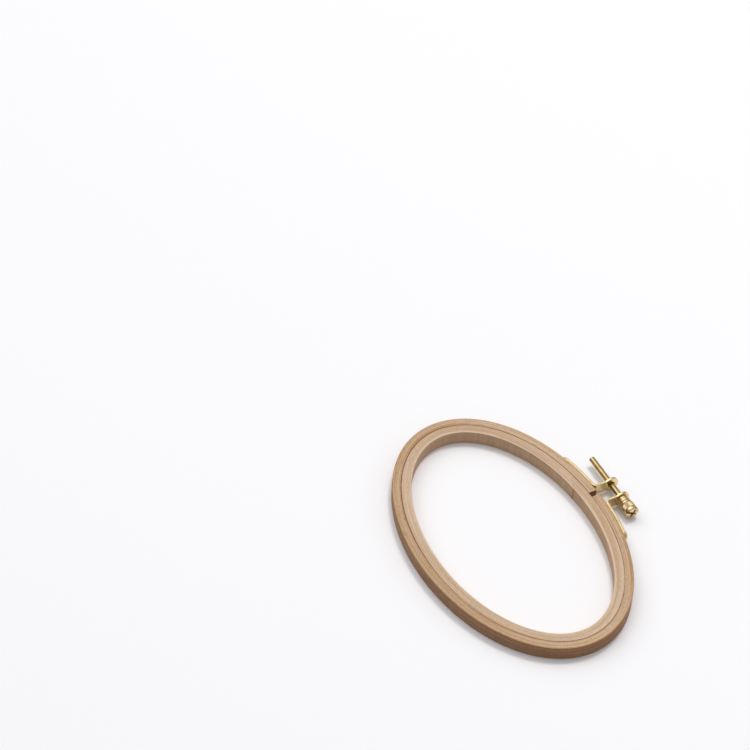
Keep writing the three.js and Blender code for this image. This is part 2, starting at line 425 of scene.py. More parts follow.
# Builds the flat sheet with rounded edges and its hole, then bends it along the plan
def makeBracket(ear):
    lengths, plan = bracketPath(ear)
    bendStart = lengths[bracket["earPoints"] - 1]
    bendEnd = lengths[bracket["earPoints"] + bracket["bendPoints"] - 2]
    (rivetX, rivetY), _ = rivetPlace(ear)
    nearest = np.argmin(np.hypot(plan[:, 0] - rivetX, plan[:, 1] - rivetY))
    upper = flatPattern(lengths[nearest])
    lower = upper[-2:0:-1] * (1, -1, 1, -1)
    outline = np.vstack([upper, lower])
    edge, sheet, steps = bracket["edgeRound"], bracket["sheet"], bracket["edgeSteps"]
    profile = []
    for angle in np.linspace(math.pi / 2, 0, steps + 1):
        profile.append((edge * (1 - math.cos(angle)), edge * (1 - math.sin(angle))))
    profile += [(inset, sheet - depth) for inset, depth in reversed(profile)]
    verts = []
    for inset, depth in profile:
        for u, height, directionU, directionH in outline:
            verts.append((u - inset * directionU, height - inset * directionH, depth))
    # Both sides of the sheet are closed with faces from its upper to its lower outline
    count, top = len(outline), len(upper) - 1
    faces = gridFaces(len(profile), count, False, True)
    for base in (0, (len(profile) - 1) * count):
        faces.append((base, base + 1, base + count - 1))
        for i in range(1, top - 1):
            faces.append((base + i, base + i + 1, base + count - i - 1, base + count - i))
        faces.append((base + top - 1, base + top, base + top + 1))
    piece = meshObject(ear["node"].replace("_bracket", "Bracket"), verts, faces)
    carve(piece, [holeCutter()])
    coordinates = np.zeros(len(piece.data.vertices) * 3)
    piece.data.vertices.foreach_get("co", coordinates)
    u, height, depth = coordinates.reshape(-1, 3).T / mm
    # Bending squeezes the sheet on the inside of the bend, so its edges swell there
    share = np.clip((u - bendStart) / (bendEnd + bracket["bulgeTail"] - bendStart), 0, 1)
    swelling = bracket["bendBulge"] * np.sin(math.pi * share) * np.clip(depth / sheet, 0, 1)
    nearEdge = np.clip(abs(height) / (bracket["stripWidth"] / 2), 0, 1) ** bracket["bulgeFocus"]
    height = height + np.sign(height) * swelling * nearEdge
    x, y, throughX, throughY = [np.interp(u, lengths, plan[:, k]) for k in range(4)]
    bent = np.column_stack([x + depth * throughX, y + depth * throughY, height + screwAxisZ])
    piece.data.vertices.foreach_set("co", (bent * mm).ravel())
    finishShading(piece, bracket["sharpAngle"])
    return piece


# Turns a profile of (distance along the axis, radius) points; the radius may change with the angle
def turned(name, profile, columns, place, radiusAt=None):
    verts, rows = [], 0
    for index, (x, radius) in enumerate(profile):
        if radius == 0:
            continue
        rows += 1
        for j in range(columns):
            angle = 2 * math.pi * j / columns
            r = radiusAt(index, x, radius, angle) if radiusAt else radius
            verts.append((x, r * math.cos(angle), r * math.sin(angle)))
    faces = gridFaces(rows, columns, False, True)
    for end, base in ((0, 0), (-1, (rows - 1) * columns)):
        if profile[end][1] == 0:
            verts.append((profile[end][0], 0, 0))
            tip = len(verts) - 1
            faces += [(base + j, base + (j + 1) % columns, tip) for j in range(columns)]
    placed = [place @ Vector(v) for v in verts]
    return meshObject(name, placed, faces)


rivet = {
    "headRadius": 2.3,
    "headHeight": 1.1,
    "rimHeight": 0.5,
    "edgeRound": 0.08,
    "domeFullness": 0.7,  # 1 is a plain ellipse, and less is fuller at the rim
    "shankRadius": 0.9,
    "grip": 3.2,
    "seatGap": 0.02,  # between the head and the sheet
    "columns": 64,
    "domeSteps": 14,
    "sharpAngle": 40,
}


def makeRivet(ear):
    (x, y), (normalX, normalY) = rivetPlace(ear)
    grip, shank, seat = rivet["grip"], rivet["shankRadius"], bracket["sheet"] + rivet["seatGap"]
    radius, edge, rim = rivet["headRadius"], rivet["edgeRound"], rivet["rimHeight"]
    profile = [(-grip, 0), (-grip, shank), (seat, shank)]
    profile += [(seat, radius - edge), (seat + edge, radius), (seat + rim, radius)]
    for step in range(1, rivet["domeSteps"]):
        angle = step / rivet["domeSteps"] * math.pi / 2
        rise = (rivet["headHeight"] - rim) * math.sin(angle)
        profile.append((seat + rim + rise, radius * math.cos(angle) ** rivet["domeFullness"]))
    profile.append((seat + rivet["headHeight"], 0))
    turn = Matrix.Rotation(math.atan2(normalY, normalX), 4, "Z")
    place = Matrix.Translation((x, y, screwAxisZ)) @ turn
    piece = turned(ear["node"].replace("_bracket", "Rivet"), profile, rivet["columns"], place)
    finishShading(piece, rivet["sharpAngle"])
    return piece


screw = {
    "pitch": 0.6,
    "threadDepth": 0.008,
    "rowStep": 0.05,
    "columns": 40,
    "tipChamfer": 0.35,
    "threadRunOut": 0.8,  # length over which the thread fades
    "sharpAngle": 70,
}
screwPlace = Matrix.Translation((0, screwAxisY, screwAxisZ))


# The thread is cut all along the shank, and fades at the tip
def makeShank():
    radius = (shankHigh.z - shankLow.z) / 2
    start, end, chamfer = shankLow.x, shankHigh.x, screw["tipChamfer"]
    rows = np.arange(start + chamfer, end, screw["rowStep"])
    profile = [(start, 0), (start, radius - chamfer)]
    profile += [(x, radius) for x in rows] + [(end, radius), (end, 0)]

    def thread(index, x, plainRadius, angle):
        phase = (x / screw["pitch"] - angle / (2 * math.pi)) % 1
        shape = (1 - math.cos(2 * math.pi * phase)) / 2
        begin = min(1, max(0, (x - start) / screw["threadRunOut"]))
        return plainRadius - screw["threadDepth"] * shape * begin

    piece = turned("screwShank", profile, screw["columns"], screwPlace, thread)
    finishShading(piece, screw["sharpAngle"])
    return piece


head = {
    "collarRadius": 3.05,
    "collarLength": 1.5,
    "bandRadius": 3.25,
    "bandLength": 1.25,
    "bandCount": 2,
    "knurlRadius": 3.4,
    "knurlLength": 3.3,
    "knurlDepth": 0.17,
    "knurlRidges": 30,
    "knurlRows": 12,
    "knurlMargin": 0.06,  # plain share of the band at each of its ends
    "knurlSharpness": 1.3,
    "grooveWidth": 0.3,
    "grooveDepth": 0.35,
    "grooveSlope": 0.02,
    "edgeRound": 0.12,
    # Distance before the end and drop from its radius, for each point of its chamfer
    "endCorners": [(0.48, 0), (0.35, 0.04), (0.06, 0.35), (0, 0.46)],
    "boreGap": 0.1,
    "shankGrip": 6.5,
    "slotWidth": 1.15,
    "slotDepth": 1.25,
    "slotTurn": -31,
    "armReach": 2.45,  # the shorter slot, across the first
    "armDepth": 1.6,
    "holeRadius": 1.0,
    "holeDepth": 2.0,
    "holeColumns": 40,
    "columns": 240,
    "sharpAngle": 35,
}


def makeHead():
    start, end = headLow.x, headHigh.x
    endRadius = (headHigh.z - headLow.z) / 2
    boreRadius = (shankHigh.z - shankLow.z) / 2 + head["boreGap"]
    boreEnd = start + head["shankGrip"] + head["boreGap"]
    edge, margin = head["edgeRound"], head["knurlMargin"]
    depth, width, slope = head["grooveDepth"], head["grooveWidth"], head["grooveSlope"]
    rounded = [(0, edge), (0.3 * edge, 0.3 * edge), (edge, 0)]  # about a quarter circle
    profile = [(boreEnd, 0), (boreEnd, boreRadius), (start, boreRadius)]
    knurled = set()
    x = start

    def band(radius, length, knurl=False):
        nonlocal x
        for along, drop in rounded:
            profile.append((x + along, radius - drop))
        if knurl:
            for share in np.linspace(margin, 1 - margin, head["knurlRows"]):
                knurled.add(len(profile))
                profile.append((x + length * share, radius))
        for along, drop in reversed(rounded):
            profile.append((x + length - along, radius - drop))
        x += length

    def groove(radius):
        nonlocal x
        profile.append((x + slope, radius - depth))
        profile.append((x + width - slope, radius - depth))
        x += width

    band(head["collarRadius"], head["collarLength"])
    for _ in range(head["bandCount"]):
        groove(head["bandRadius"])
        band(head["bandRadius"], head["bandLength"])
    groove(head["knurlRadius"])
    knurlStart = x
    band(head["knurlRadius"], head["knurlLength"], True)
    knurlEnd = x
    groove(endRadius)
    profile += [(x + along, endRadius - drop) for along, drop in rounded]
    profile += [(end - back, endRadius - drop) for back, drop in head["endCorners"]] + [(end, 0)]

    def ridges(index, along, radius, angle):
        if index not in knurled:
            return radius
        phase = angle * head["knurlRidges"] / (2 * math.pi) % 1
        valley = 1 - abs(2 * phase - 1)
        return radius - head["knurlDepth"] * valley ** head["knurlSharpness"]

    piece = turned("screwHead", profile, head["columns"], screwPlace, ridges)
    faceOutwards(piece)
    carve(piece, headCutters(end, 2 * endRadius))
    markFaces(piece, end, knurlStart, knurlEnd)
    finishShading(piece, head["sharpAngle"])
    return piece


# One slot right across the end of the head, a shorter one across it and a hole in the middle
def headCutters(end, wide):
    halfSlot, beyond = head["slotWidth"] / 2, end + 1
    cutters = []
    for extraTurn, reach, sunk in ((0, wide, head["slotDepth"]), (90, head["armReach"], head["armDepth"])):
        turn = Matrix.Rotation(math.radians(head["slotTurn"] + extraTurn), 4, "X")
        block = [
            (x, y, z)
            for x in (end - sunk, beyond) for y in (-reach, reach) for z in (-halfSlot, halfSlot)
        ]
        sides = [(0, 1, 3, 2), (4, 6, 7, 5), (0, 4, 5, 1), (2, 3, 7, 6), (0, 2, 6, 4), (1, 5, 7, 3)]
        cutters.append(meshObject("slotCutter", [screwPlace @ turn @ Vector(v) for v in block], sides))
    floor, radius = end - head["holeDepth"], head["holeRadius"]
    hole = [(floor, 0), (floor, radius), (beyond, radius), (beyond, 0)]
    cutters.append(turned("holeCutter", hole, head["holeColumns"], screwPlace))
    for cutter in cutters:
        faceOutwards(cutter)
    return cutters


# Marks the faces in the slots and the centre hole, where the brass is dull and darkened by dirt and painted
# shade, and the knurl
def markFaces(piece, end, knurlStart, knurlEnd):
    upright = Matrix.Rotation(math.radians(-head["slotTurn"]), 4, "X") @ screwPlace.inverted()
    halfSlot, slack = head["slotWidth"] / 2, 0.02
    marked, knurled = [], []
    for polygon in piece.data.polygons:
        x, y, z = upright @ (polygon.center / mm)
        fromAxis = math.hypot(y, z)
        inSlot = min(abs(y), abs(z)) < halfSlot + slack and x > end - head["armDepth"] - slack
        inHole = fromAxis < head["holeRadius"] + slack and x > end - head["holeDepth"] - slack
        marked.append(float((inSlot or inHole) and x < end - slack))
        onKnurl = knurlStart < x < knurlEnd and fromAxis > head["knurlRadius"] - 2 * head["knurlDepth"]
        knurled.append(float(onKnurl and not marked[-1]))
    for name, values in (("recess", marked), ("knurl", knurled)):
        attribute = piece.data.attributes.new(name, "FLOAT", "FACE")
        attribute.data.foreach_set("value", values)


# Small helpers for building node trees
class NodeTree:
    def __init__(self, tree):
        self.tree = tree
        self.column = 0

    # Each node stands to the right of the one before it, in four rows
    def add(self, kind, **settings):
        node = self.tree.nodes.new(kind)
        self.column += 1
        node.location = (self.column * 180, -(self.column % 4) * 160)
        for key, value in settings.items():
            setattr(node, key, value)
        return node

    def link(self, source, target):
        self.tree.links.new(source, target)

    # A number or a socket goes into an input
    def feed(self, target, value):
        if isinstance(value, bpy.types.NodeSocket):
            self.link(value, target)
        else:
            target.default_value = value

    def attribute(self, name, output="Fac"):
        return self.add("ShaderNodeAttribute", attribute_name=name).outputs[output]

    def maths(self, operation, first, second=0.0, clamp=False):
        node = self.add("ShaderNodeMath", operation=operation, use_clamp=clamp)
        self.feed(node.inputs[0], first)
        self.feed(node.inputs[1], second)
        return node.outputs[0]

    # The Mix node's colour sockets are inputs 6 and 7 and output 2
    def mixColour(self, blendType, factor, first, second):
        node = self.add("ShaderNodeMix", data_type="RGBA", blend_type=blendType)
        self.feed(node.inputs["Factor"], factor)
        self.feed(node.inputs[6], first)
        self.feed(node.inputs[7], second)
        return node.outputs[2]

    def ramp(self, value, low, high, lowOut=0.0, highOut=1.0):
        node = self.add("ShaderNodeMapRange", interpolation_type="SMOOTHSTEP")
        self.feed(node.inputs["Value"], value)
        numbers = {"From Min": low, "From Max": high, "To Min": lowOut, "To Max": highOut}
        for name, number in numbers.items():
            node.inputs[name].default_value = number
        return node.outputs["Result"]

    # Noise over a vector that is first stretched and shifted
    def noise(self, vector, stretch, shift, detail=2.0, roughness=0.5):
        place = self.add("ShaderNodeVectorMath", operation="MULTIPLY_ADD")
        for socket, value in zip(place.inputs, (vector, stretch, shift)):
            self.feed(socket, value)
        node = self.add("ShaderNodeTexNoise")
        self.link(place.outputs[0], node.inputs["Vector"])
        for name, number in (("Scale", 1.0), ("Detail", detail), ("Roughness", roughness)):
            node.inputs[name].default_value = number
        return node.outputs["Fac"]


def newGroup(name, inputs, outputs):
    group = bpy.data.node_groups.new(name, "ShaderNodeTree")
    for label, kind, value in inputs:
        socket = group.interface.new_socket(name=label, in_out="INPUT", socket_type=kind)
        socket.default_value = value
    for label, kind in outputs:
        group.interface.new_socket(name=label, in_out="OUTPUT", socket_type=kind)
    nodes = NodeTree(group)
    return group, nodes, nodes.add("NodeGroupInput").outputs, nodes.add("NodeGroupOutput").inputs


def srgb(red, green, blue):
    def linear(value):
        value /= 255
        return value / 12.92 if value <= 0.04045 else ((value + 0.055) / 1.055) ** 2.4

    return (linear(red), linear(green), linear(blue), 1.0)


# The beech's noises: stretch along the strip, across it and up, then detail and roughness
beechNoises = {
    "broad": ((0.016, 0.22, 0.22), 3.0, 0.5),
    "lines": ((0.014, 1.2, 1.2), 4.0, 0.65),
    "fibre": ((0.3, 6.0, 6.0), 3.0, 0.6),
    "pores": ((0.8, 2.6, 2.6), 3.0, 0.7),
    "speck": ((0.45, 3.2, 3.2), 1.0, 0.5),
    "sparse": ((0.05, 0.3, 0.3), 1.0, 0.5),
    "year": ((0.005, 0.75, 0.75), 1.5, 0.5),
}
# How much four of them change the tone
beechTone = {"broad": 1.2, "pores": 1.6, "lines": 2.3, "fibre": 1.1}
# Between which values of a noise a mark fades in, and how strong it is at each
beechShow = {
    "lines": (0.53, 0.66, 0.0, 0.75),
    "lineFibre": (0.3, 0.6),
    "yearValue": 0.47,
    "yearLine": (0.035, 0.0),  # from that value
    "yearPatches": (0.35, 0.6, 0.2, 0.65),
    "specks": (0.63, 0.73),
    "speckPatches": (0.38, 0.56),
    "roughness": (0.3, 0.7, 0.58, 0.72),
}


# Beech: growth lines and fibre along the strip, fine pores, short dark ray flecks, and slow changes of tone
def beechGroup():
    group, nodes, given, out = newGroup(
        "beechGrain",
        [
            ("Pale", "NodeSocketColor", srgb(205, 178, 150)),
            ("Deep", "NodeSocketColor", srgb(172, 140, 108)),
            ("Line", "NodeSocketColor", srgb(176, 130, 88)),
            ("Fleck", "NodeSocketColor", srgb(120, 82, 55)),
            ("Shift", "NodeSocketVector", (0, 0, 0)),
            ("Streaks", "NodeSocketFloat", 1.0),
            ("Flecks", "NodeSocketFloat", 1.0),
        ],
        [("Color", "NodeSocketColor"), ("Roughness", "NodeSocketFloat"), ("Height", "NodeSocketFloat")],
    )
    grain = nodes.attribute("grain", "Vector")
    noises = {}
    for name, (stretch, detail, roughness) in beechNoises.items():
        noises[name] = nodes.noise(grain, stretch, given["Shift"], detail, roughness)

    def centred(name):
        return nodes.maths("MULTIPLY", nodes.maths("SUBTRACT", noises[name], 0.5), beechTone[name])

    # A mask of two ramps, made stronger or weaker by one of the group's inputs
    def mask(first, second, strength):
        return nodes.maths("MULTIPLY", nodes.maths("MULTIPLY", first, second), given[strength], True)

    streaks = nodes.maths("ADD", centred("lines"), centred("fibre"))
    streaks = nodes.maths("MULTIPLY", streaks, given["Streaks"])
    tone = nodes.maths("ADD", centred("broad"), centred("pores"))
    tone = nodes.maths("ADD", nodes.maths("ADD", tone, streaks), 0.5, True)
    colour = nodes.mixColour("MIX", tone, given["Pale"], given["Deep"])
    lines = nodes.ramp(noises["lines"], *beechShow["lines"])
    lineMask = mask(lines, nodes.ramp(noises["fibre"], *beechShow["lineFibre"]), "Streaks")
    colour = nodes.mixColour("MIX", lineMask, colour, given["Line"])
    fromLine = nodes.maths("ABSOLUTE", nodes.maths("SUBTRACT", noises["year"], beechShow["yearValue"]))
    years = nodes.ramp(fromLine, *beechShow["yearLine"])
    yearMask = mask(years, nodes.ramp(noises["broad"], *beechShow["yearPatches"]), "Streaks")
    colour = nodes.mixColour("MIX", yearMask, colour, given["Line"])
    specks = nodes.ramp(noises["speck"], *beechShow["specks"])
    fleckMask = mask(specks, nodes.ramp(noises["sparse"], *beechShow["speckPatches"]), "Flecks")
    colour = nodes.mixColour("MIX", fleckMask, colour, given["Fleck"])
    nodes.link(colour, out["Color"])
    nodes.link(nodes.ramp(noises["fibre"], *beechShow["roughness"]), out["Roughness"])
    raised = nodes.maths("ADD", noises["fibre"], noises["lines"])
    nodes.link(nodes.maths("SUBTRACT", raised, fleckMask), out["Height"])
    return group


# Two noises of the planer's marks: stretch, detail, roughness and share
planerNoises = {"fine": ((2.4, 0.1, 0.08), 3.0, 0.6, 1.4), "wide": ((0.22, 0.05, 0.04), 2.0, 0.5, 0.6)}


# Fine upright lines left by the planer on a wall of the ring
def toolMarksGroup():
    group, nodes, given, out = newGroup(
        "toolMarks", [("Shift", "NodeSocketVector", (0, 0, 0))], [("Tone", "NodeSocketFloat")]
    )
    grain = nodes.attribute("grain", "Vector")
    parts = []
    for stretch, detail, roughness, share in planerNoises.values():
        marks = nodes.noise(grain, stretch, given["Shift"], detail, roughness)
        parts.append(nodes.maths("MULTIPLY", marks, share))
    nodes.link(nodes.maths("SUBTRACT", nodes.maths("ADD", *parts), 1.0), out["Tone"])
    return group


brassPattern = {
    "cloudStretch": (300, 300, 300),
    "speckStretch": (1800, 1800, 1800),
    "speckShift": (5, 1, 3),
    "marksShift": (2, 8, 4),
    "tarnish": (0.42, 0.72),
    "speckRelief": 0.6,
}


# Brass: slight tarnish and fine marks, which run across the direction in which Marks is largest
def brassGroup():
    group, nodes, given, out = newGroup(
        "brassFinish",
        [
            ("Bright", "NodeSocketColor", srgb(222, 200, 140)),
            ("Dull", "NodeSocketColor", srgb(186, 160, 98)),
            ("Marks", "NodeSocketVector", (600, 600, 5000)),
            ("Smooth", "NodeSocketFloat", 0.2),
            ("Rubbed", "NodeSocketFloat", 0.4),
        ],
        [("Color", "NodeSocketColor"), ("Roughness", "NodeSocketFloat"), ("Height", "NodeSocketFloat")],
    )
    place = nodes.add("ShaderNodeTexCoord").outputs["Object"]
    cloud = nodes.noise(place, brassPattern["cloudStretch"], (0, 0, 0), 3.0)
    speck = nodes.noise(place, brassPattern["speckStretch"], brassPattern["speckShift"])
    marks = nodes.noise(place, given["Marks"], brassPattern["marksShift"])
    tarnish = nodes.ramp(cloud, *brassPattern["tarnish"])
    colour = nodes.mixColour("MIX", tarnish, given["Bright"], given["Dull"])
    nodes.link(colour, out["Color"])
    wear = nodes.maths("ADD", nodes.maths("MULTIPLY", tarnish, 0.5), nodes.maths("MULTIPLY", marks, 0.5))
    spread = nodes.maths("SUBTRACT", given["Rubbed"], given["Smooth"])
    rough = nodes.maths("ADD", nodes.maths("MULTIPLY", wear, spread), given["Smooth"])
    nodes.link(rough, out["Roughness"])
    specks = nodes.maths("MULTIPLY", speck, brassPattern["speckRelief"])
    nodes.link(nodes.maths("ADD", specks, marks), out["Height"])
    return group


beech = beechGroup()
toolMarks = toolMarksGroup()
brass = brassGroup()


def newMaterial(name):
    material = bpy.data.materials.new(name)
    material.use_nodes = True
    material.node_tree.nodes.clear()
    nodes = NodeTree(material.node_tree)
    shader = nodes.add("ShaderNodeBsdfPrincipled")
    nodes.link(shader.outputs[0], nodes.add("ShaderNodeOutputMaterial").inputs["Surface"])
    return material, nodes, shader


def placeGroup(nodes, group, values):
    node = nodes.add("ShaderNodeGroup", node_tree=group)
    for name, value in values.items():
        nodes.feed(node.inputs[name], value)
    return node.outputs


def addBump(nodes, shader, height, strength, distance):
    bump = nodes.add("ShaderNodeBump")
    bump.inputs["Strength"].default_value = strength
    bump.inputs["Distance"].default_value = distance
    nodes.link(height, bump.inputs["Height"])
    nodes.link(bump.outputs["Normal"], shader.inputs["Normal"])


# Bands are two distances from an edge of the strip, between which a tint fades in
outerWood = {
    "pale": srgb(209, 181, 151),
    "deep": srgb(176, 143, 109),
    "line": srgb(181, 134, 90),
    "fleck": srgb(142, 98, 62),
    "shift": (3.0, 1.0, 7.0),
    "streaks": 1.35,
    "cutStreaks": 2.4,
    "flecks": 0.85,
    "rim": srgb(246, 230, 206),
    "rimBand": (1.2, 0.4),
    # Painted shade along the seam between the rings
    "seam": srgb(205, 160, 120),
    "seamShadeBand": (0.5, 0.05),
    # Painted shade: the outer wall is darkened against the top
    "wall": srgb(222, 216, 228),
    "wallBand": (0.22, 0.02),
    "cut": srgb(205, 180, 182),
    "markShift": (11.0, 2.0, 5.0),
    "markStrength": 0.25,
}
innerWood = {
    "pale": srgb(220, 194, 168),
    "deep": srgb(187, 157, 126),
    "line": srgb(190, 149, 110),
    "fleck": srgb(152, 112, 78),
    "shift": (40.0, 9.0, 2.0),
    "streaks": 0.9,
    "cutStreaks": 1.3,
    "flecks": 0.55,
    # Painted shade along the seam between the rings
    "seam": srgb(210, 170, 132),
    "seamShadeBand": (0.35, 0.05),
    # Painted highlight along the inner top edge
    "edgeHighlight": srgb(230, 208, 184),
    "edgeHighlightBand": (0.9, 0.4),
    "edgeHighlightShare": 0.6,
    # Painted shade: the inner wall is darkened against the top
    "wall": srgb(232, 216, 200),
    "wallBand": (0.25, 0.02),
    "glue": srgb(192, 148, 126),
    "glueBand": (0.9, 0.3),
    "glueShares": (0.12, 0.85),  # on the top and on the wall
    "markShift": (1.0, 6.0, 3.0),
    "markStrength": 0.42,
}
bothWoods = {
    "specular": 0.3,
    "bump": 0.35,
    "bumpDepth": 0.0002,
    "cutStretch": (320, 365),  # along the strip, where the growth lines show most
    "seamShadeStretch": (0.03, 1, 1),
    "seamShadeShift": (4.0, 0, 0),
    "seamShadePatches": (0.35, 0.65, 0.35, 1.0),
    "seamShadeFade": (290, 340, 1.0, 0.35),
}


def woodMaterial(name, wood):
    material, nodes, shader = newMaterial(name)
    separate = nodes.add("ShaderNodeSeparateXYZ")
    nodes.link(nodes.attribute("grain", "Vector"), separate.inputs[0])
    place = separate.outputs
    streaks = nodes.ramp(place["X"], *bothWoods["cutStretch"], wood["streaks"], wood["cutStreaks"])
    colours = {"Pale": wood["pale"], "Deep": wood["deep"], "Line": wood["line"], "Fleck": wood["fleck"]}
    amounts = {"Shift": wood["shift"], "Streaks": streaks, "Flecks": wood["flecks"]}
    grain = placeGroup(nodes, beech, {**colours, **amounts})
    marks = placeGroup(nodes, toolMarks, {"Shift": wood["markShift"]})
    nodes.link(grain["Roughness"], shader.inputs["Roughness"])
    shader.inputs["Specular IOR Level"].default_value = bothWoods["specular"]
    addBump(nodes, shader, grain["Height"], bothWoods["bump"], bothWoods["bumpDepth"])
    return material, nodes, shader, grain["Color"], marks["Tone"], place


# Painted shade: a brown darkening along the seam between the rings, stronger in some stretches than in
# others
def seamShade(nodes, colour, place, near, tint):
    along = nodes.add("ShaderNodeCombineXYZ")
    nodes.link(place["X"], along.inputs[0])
    patches = nodes.noise(along.outputs[0], bothWoods["seamShadeStretch"], bothWoods["seamShadeShift"])
    mask = nodes.maths("MULTIPLY", near, nodes.ramp(patches, *bothWoods["seamShadePatches"]))
    mask = nodes.maths("MULTIPLY", mask, nodes.ramp(place["X"], *bothWoods["seamShadeFade"]))
    return nodes.mixColour("MULTIPLY", mask, colour, tint)


# Darkens a wall with painted shade, and darkens and lightens it with its tool marks
def shadeAndMarkWall(nodes, colour, onWall, marks, wood):
    colour = nodes.mixColour("MULTIPLY", onWall, colour, wood["wall"])
    shade = nodes.maths("MULTIPLY", nodes.maths("MULTIPLY", marks, onWall), -wood["markStrength"])
    return nodes.mixColour("MULTIPLY", 1.0, colour, nodes.maths("ADD", shade, 1.0))


def outerWoodMaterial():
    wood = outerWood
    material, nodes, shader, colour, marks, place = woodMaterial("outerWood", wood)
    across, seam = place["Y"], rings["seam"] / 2
    nearRim = nodes.ramp(across, *(outerWall - distance for distance in wood["rimBand"]))
    colour = nodes.mixColour("MULTIPLY", nearRim, colour, wood["rim"])
    # Painted shade darkens the top next to the seam
    nearSeam = nodes.ramp(across, *(seam + distance for distance in wood["seamShadeBand"]))
    colour = seamShade(nodes, colour, place, nearSeam, wood["seam"])
    onWall = nodes.ramp(across, *(outerWall - distance for distance in wood["wallBand"]))
    # The wall gets painted shade and its tool marks
    colour = shadeAndMarkWall(nodes, colour, onWall, marks, wood)
    colour = nodes.mixColour("MULTIPLY", nodes.attribute("cutFace"), colour, wood["cut"])
    nodes.link(colour, shader.inputs["Base Color"])
    return material


def innerWoodMaterial():
    wood = innerWood
    material, nodes, shader, colour, marks, place = woodMaterial("innerWood", wood)
    across, seam, wall = place["Y"], -rings["seam"] / 2, -rings["innerWall"]
    # Painted shade darkens the top next to the seam
    nearSeam = nodes.ramp(across, *(seam - distance for distance in wood["seamShadeBand"]))
    colour = seamShade(nodes, colour, place, nearSeam, wood["seam"])
    # Painted highlight: the inner top edge is paled
    nearEdge = nodes.ramp(across, *(wall + distance for distance in wood["edgeHighlightBand"]))
    edgeHighlight = nodes.maths("MULTIPLY", nearEdge, wood["edgeHighlightShare"])
    colour = nodes.mixColour("MIX", edgeHighlight, colour, wood["edgeHighlight"])
    onWall = nodes.ramp(across, *(wall + distance for distance in wood["wallBand"]))
    # The wall gets painted shade and its tool marks
    colour = shadeAndMarkWall(nodes, colour, onWall, marks, wood)
    atJoint = nodes.ramp(place["X"], *wood["glueBand"])
    glue = nodes.maths("MULTIPLY", atJoint, nodes.ramp(onWall, 0.0, 1.0, *wood["glueShares"]))
    colour = nodes.mixColour("MULTIPLY", glue, colour, wood["glue"])
    nodes.link(colour, shader.inputs["Base Color"])
    return material


brassFinishes = {
    "bracketBrass": {
        "Bright": srgb(237, 213, 163),
        "Dull": srgb(220, 194, 142),
        "Marks": (500, 500, 4000),
        "Smooth": 0.2,
        "Rubbed": 0.28,
    },
    "rivetBrass": {
        "Bright": srgb(244, 228, 190),
        "Dull": srgb(232, 212, 168),
        "Marks": (900, 900, 900),
        "Smooth": 0.14,
        "Rubbed": 0.22,
    },
    "screwBrass": {
        "Bright": srgb(188, 163, 111),
        "Dull": srgb(171, 146, 95),
        "Marks": (3000, 400, 400),
        "Smooth": 0.1,
        "Rubbed": 0.16,
    },
    "headBrass": {
        "Bright": srgb(228, 205, 160),
        "Dull": srgb(204, 179, 132),
        "Marks": (4000, 500, 500),
        "Smooth": 0.16,
        "Rubbed": 0.24,
    },
}
brassSurface = {
    "relief": {"bracketBrass": 0.04, "rivetBrass": 0.04, "screwBrass": 0.02, "headBrass": 0.05},
    "reliefDepth": 0.00005,
    # Dirt and painted shade in the slots and the centre hole
    "recessDirtAndShade": srgb(225, 200, 160),
    "recessRoughness": 0.25,
    "knurlRoughness": 0.05,
}


def brassMaterial(name):
    material, nodes, shader = newMaterial(name)
    finish = placeGroup(nodes, brass, brassFinishes[name])
    recess, knurl = nodes.attribute("recess"), nodes.attribute("knurl")
    # The slots and the centre hole are darkened by dirt and painted shade
    colour = nodes.mixColour("MULTIPLY", recess, finish["Color"], brassSurface["recessDirtAndShade"])
    nodes.link(colour, shader.inputs["Base Color"])
    inRecess = nodes.maths("MULTIPLY", recess, brassSurface["recessRoughness"])
    onKnurl = nodes.maths("MULTIPLY", knurl, brassSurface["knurlRoughness"])
    rough = nodes.maths("ADD", nodes.maths("ADD", finish["Roughness"], inRecess), onKnurl)
    nodes.link(rough, shader.inputs["Roughness"])
    shader.inputs["Metallic"].default_value = 1.0
    addBump(nodes, shader, finish["Height"], brassSurface["relief"][name], brassSurface["reliefDepth"])
    return material


# Gives a piece its material, hides the nodes that it stands for and attaches it to the body that it moves
# with
def dress(piece, material, slot, body, *nodes):
    piece.data.materials.clear()
    piece.data.materials.append(material)
    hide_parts(*nodes)
    if body:
        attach(piece, body)


print("making the rings")
outerPiece = makeOuterRing()
dress(outerPiece, outerWoodMaterial(), "outer_wood", None, "outer_ring_left", "outer_ring_right")
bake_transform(outerPiece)
dress(makeInnerRing(), innerWoodMaterial(), "inner_wood", "inner", "inner_ring")

print("making the brackets and rivets")
bracketBrass, rivetBrass = brassMaterial("bracketBrass"), brassMaterial("rivetBrass")
for ear in (leftEar, rightEar):
    dress(makeBracket(ear), bracketBrass, "bracket_brass", ear["body"], ear["node"])
    dress(makeRivet(ear), rivetBrass, "rivet_brass", ear["body"], ear["node"].replace("bracket", "rivet"))

print("making the screw")
dress(makeShank(), brassMaterial("screwBrass"), "screw_brass", "screw", "screw_shank")
dress(makeHead(), brassMaterial("headBrass"), "head_brass", "screw", "screw_head")

studio = {
    "floorSize": 40.0,
    "floorSeen": srgb(249, 248, 249),
    "floorBounce": 0.72,
    "floorRoughness": 0.9,
    "skyColour": (0.98, 0.985, 1.0, 1.0),
    "skyLight": 0.4,
    "horizonShare": 0.5,
    "clearHeight": 0.5,
    "glowTowards": (-0.6, -0.15, 0.785),
    "glowLight": 0.95,
    "glowInner": 16,
    "glowOuter": 48,
    "coreTowards": (-0.6, -0.28, 0.75),
    "coreLight": 1.0,
    "coreInner": 5,
    "coreOuter": 17,
    "tiltTowards": (0.3, 0.95, 0.0),
    "tiltLight": 0.14,
}
